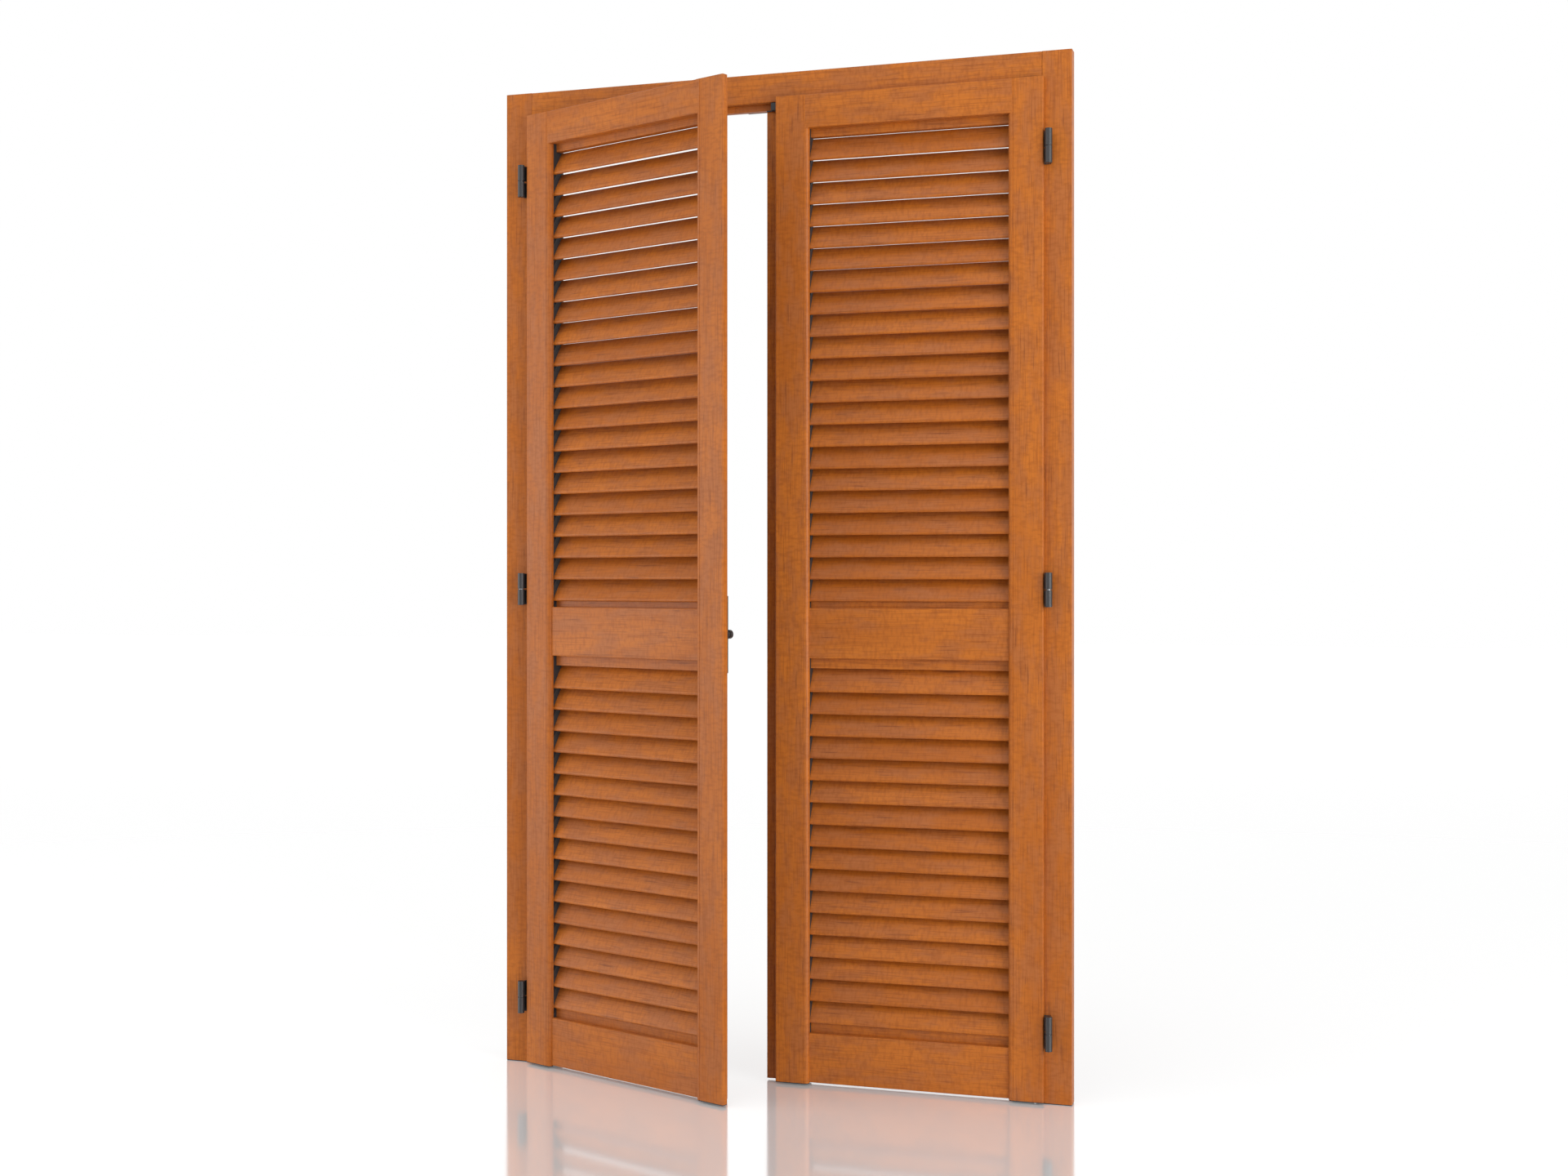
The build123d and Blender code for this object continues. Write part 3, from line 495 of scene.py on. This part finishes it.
# %% A tree that puts screws at places
def screw_tree():
    """Inputs: Geometry of places, Head, Facing, Seed and Finish."""
    tree = bpy.data.node_groups.new("screws", "GeometryNodeTree")
    face = tree.interface
    face.new_socket("Geometry", in_out="OUTPUT", socket_type="NodeSocketGeometry")
    face.new_socket("Geometry", in_out="INPUT", socket_type="NodeSocketGeometry")
    face.new_socket("Head", in_out="INPUT", socket_type="NodeSocketObject")
    face.new_socket("Facing", in_out="INPUT", socket_type="NodeSocketVector")
    face.new_socket("Seed", in_out="INPUT", socket_type="NodeSocketInt")
    face.new_socket("Finish", in_out="INPUT", socket_type="NodeSocketMaterial")
    given = tree.nodes.new("NodeGroupInput")
    result = tree.nodes.new("NodeGroupOutput")
    head = add(tree, "GeometryNodeObjectInfo", Object=given.outputs["Head"])
    facing = add(tree, "FunctionNodeEulerToRotation", Euler=given.outputs["Facing"])
    copies = add(tree, "GeometryNodeInstanceOnPoints", Points=given.outputs["Geometry"],
                 Instance=head.outputs["Geometry"], Rotation=facing.outputs[0])
    chance = add(tree, "FunctionNodeRandomValue", {"data_type": "FLOAT"}, Seed=given.outputs["Seed"])
    turn = number(tree, "MULTIPLY", chance.outputs["Value"], pi)
    spin = add(tree, "ShaderNodeCombineXYZ", Z=turn)
    turned = add(tree, "GeometryNodeRotateInstances", Instances=copies.outputs[0],
                 Rotation=spin.outputs[0])
    real = add(tree, "GeometryNodeRealizeInstances", Geometry=turned.outputs[0])
    done = add(tree, "GeometryNodeSetMaterial", Geometry=real.outputs[0],
               Material=given.outputs["Finish"])
    tree.links.new(done.outputs[0], result.inputs[0])
    return tree


SCREW_TREE = screw_tree()
LARGE_HEAD = screw_head("large_head", 0.0032, 0.0013)
SMALL_HEAD = screw_head("small_head", 0.0024, 0.0010)
FACING_IN = (-pi / 2, 0, 0)
FACING_LEFT = (0, -pi / 2, 0)
FACING_RIGHT = (0, pi / 2, 0)


def screws(name, body, places, head, facing, side=""):
    """A group of like screws at places on the closed shutter, on one body."""
    obj = grown(name, SCREW_TREE, places, Head=head, Facing=facing, Seed=len(name),
                Finish=BLACK_PAINT)
    if side == "left":
        obj.data.transform(Matrix.Scale(-1, 4, (1, 0, 0)))
        obj.data.flip_normals()
    if body == "left_leaf":
        obj.data.transform(LEFT_OPEN)
    for face in obj.data.polygons:
        face.use_smooth = True
    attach(obj, body)
    print(name, len(places), "screws")


# %% [markdown]
# ## Where the screws sit
# Each fitting has its screws in pairs, either side of its middle. All places are given
# for the closed right-hand side, on the surface that the head's rim touches. The left
# ones are mirrored, and those on the open leaf are then turned open with it.

# %% Screws of the lock and its rod guides
PAIR = (-1, 1)
MIDDLE = 0.0555
LEAF_BACK = 0.003
HOUSING_DEPTH = 0.014
LOCK_END = 0.013
lock_low, lock_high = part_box("left_lock_housing")
lock_z = (lock_low.z + lock_high.z) / 2
lock_half = (lock_high.z - lock_low.z) / 2
lock_places = [(MIDDLE, LEAF_BACK + HOUSING_DEPTH, lock_z + s * (lock_half - LOCK_END)) for s in PAIR]
screws("lock_screws", "left_leaf", lock_places, LARGE_HEAD, FACING_IN, "left")

GUIDE_DEPTH = 0.0105
GUIDE_SPREAD = 0.0106
GUIDE_HEIGHTS = (1.9278, 1.4698, 0.6392, 0.2508)
guide_y = LEAF_BACK + GUIDE_DEPTH
guide_places = [(MIDDLE + s * GUIDE_SPREAD, guide_y, z) for s in PAIR for z in GUIDE_HEIGHTS]
screws("guide_screws", "left_leaf", guide_places, SMALL_HEAD, FACING_IN, "left")

# %% Screws of the bolts and keepers
PLATE_Y = LEAF_BACK + 0.0025
PLATE_SPREAD = 0.0105
PLATE_HEIGHTS = (2.125, 2.063, 0.159, 0.097)
plate_places = [(MIDDLE + s * PLATE_SPREAD, PLATE_Y, z) for s in PAIR for z in PLATE_HEIGHTS]
screws("bolt_screws", "right_leaf", plate_places, SMALL_HEAD, FACING_IN)

KEEPER_SPREAD = 0.015
KEEPER_HEIGHT = 2.2265
keeper_places = [(m * MIDDLE + s * KEEPER_SPREAD, PLATE_Y, KEEPER_HEIGHT) for m in PAIR for s in PAIR]
screws("keeper_screws", "frame", keeper_places, SMALL_HEAD, FACING_IN)

# %% Screws of the hinge plates
HINGE_HEIGHTS = (0.158, 1.123, 2.088)
KNUCKLE_MIDDLE = 0.019
HINGE_SPREAD = 0.009
FRAME_PLATE = (0.606, -0.0228)
LEAF_PLATE = (0.590, -0.0255)
frame_places = [(*FRAME_PLATE, h - KNUCKLE_MIDDLE + s * HINGE_SPREAD) for h in HINGE_HEIGHTS for s in PAIR]
leaf_places = [(*LEAF_PLATE, h + KNUCKLE_MIDDLE + s * HINGE_SPREAD) for h in HINGE_HEIGHTS for s in PAIR]
for side in ("left", "right"):
    screws(f"hinge_frame_screws_{side}", "frame", frame_places, SMALL_HEAD, FACING_LEFT, side)
    screws(f"hinge_leaf_screws_{side}", f"{side}_leaf", leaf_places, SMALL_HEAD, FACING_RIGHT, side)

# %% [markdown]
# ## The floor
# A product picture of this kind stands on a glossy white floor that fades to white. The
# floor is a big plane, half mirror and half matt white. More lamps would make it white
# and would bleach the wood too, so it gives off a little white of its own instead, and
# only where the camera sees it. The shutters' reflection and shadow stay in it.

# %% Floor
FLOOR_SIZE = 60
FLOOR_OWN_WHITE = 0.12
bpy.ops.mesh.primitive_plane_add(size=FLOOR_SIZE)
floor = bpy.context.object
floor.name = "floor"
g = Graph("floor_white")
seen = g.node("ShaderNodeLightPath")
g.shader.inputs["Emission Strength"].default_value = 1.0
g.surface(Base_Color=(0.97, 0.97, 0.97, 1), Metallic=0.50, Roughness=0.09,
          Emission_Color=seen * FLOOR_OWN_WHITE)
floor.data.materials.append(g.material)
print("floor:", FLOOR_SIZE, "m square")

# %% [markdown]
# ## The background and the lamps
# The world has two strengths. Rays from the camera, from a mirror and through glass meet
# plain white, which gives the white ground. All other rays meet a weaker grey, which
# fills the shadows. Three large soft lamps do the rest: the key from the right lights
# the bevels and edges that face it, and the other two even out the left and the top.

# %% Background
world = bpy.data.worlds.new("white")
bpy.context.scene.world = world
world.use_nodes = True
tree = world.node_tree
tree.nodes.clear()
out = tree.nodes.new("ShaderNodeOutputWorld")
ambient = tree.nodes.new("ShaderNodeBackground")
ambient.inputs["Strength"].default_value = 0.44
white = tree.nodes.new("ShaderNodeBackground")
white.inputs["Color"].default_value = (1, 1, 1, 1)
ambient.inputs["Color"].default_value = (1, 1, 1, 1)
path = tree.nodes.new("ShaderNodeLightPath")
camera_ray = Wire(tree, path.outputs["Is Camera Ray"])
seen = camera_ray.math("MAXIMUM", Wire(tree, path.outputs["Is Glossy Ray"]))
seen = seen.math("MAXIMUM", Wire(tree, path.outputs["Is Transmission Ray"]))
mixed = tree.nodes.new("ShaderNodeMixShader")
connect(tree, mixed.inputs[0], seen)
tree.links.new(ambient.outputs[0], mixed.inputs[1])
tree.links.new(white.outputs[0], mixed.inputs[2])
tree.links.new(mixed.outputs[0], out.inputs[0])
print("world's fill:", round(ambient.inputs["Strength"].default_value, 2))


# %% Lamps
def lamp(name, place, target, size, power):
    """A square area lamp that looks at a target."""
    data = bpy.data.lights.new(name, "AREA")
    data.size = size
    data.energy = power
    obj = bpy.data.objects.new(name, data)
    obj.location = place
    obj.rotation_euler = (Vector(target) - Vector(place)).to_track_quat("-Z", "Y").to_euler()
    bpy.context.scene.collection.objects.link(obj)
    print(name, size, "m,", power, "W")


lamp("key", (5.1, -2.8, 1.9), (0, 0, 1.0), 3.0, 196)
lamp("left_box", (-5.0, -2.2, 1.5), (-0.4, 0, 1.0), 3.0, 80)
lamp("top_box", (-1.0, -2.2, 5.2), (0, 0, 1.0), 4.5, 74)

# %% [markdown]
# ## The camera
# The verticals stand upright in the photograph and the horizon runs through the middle,
# so the camera looks level, at about eye height of someone who kneels.

# %% Camera
camera = bpy.data.objects.new("camera", bpy.data.cameras.new("camera"))
bpy.context.scene.collection.objects.link(camera)
bpy.context.scene.camera = camera
camera.location = (1.3475, -4.2402, 1.1447)
camera.rotation_euler = (pi / 2, 0, radians(17.52))
camera.data.sensor_width = 36
camera.data.lens = 44.53
camera.data.shift_y = -0.0052
bpy.context.scene.view_settings.view_transform = "Standard"
print("lens:", round(camera.data.lens, 2), "mm")
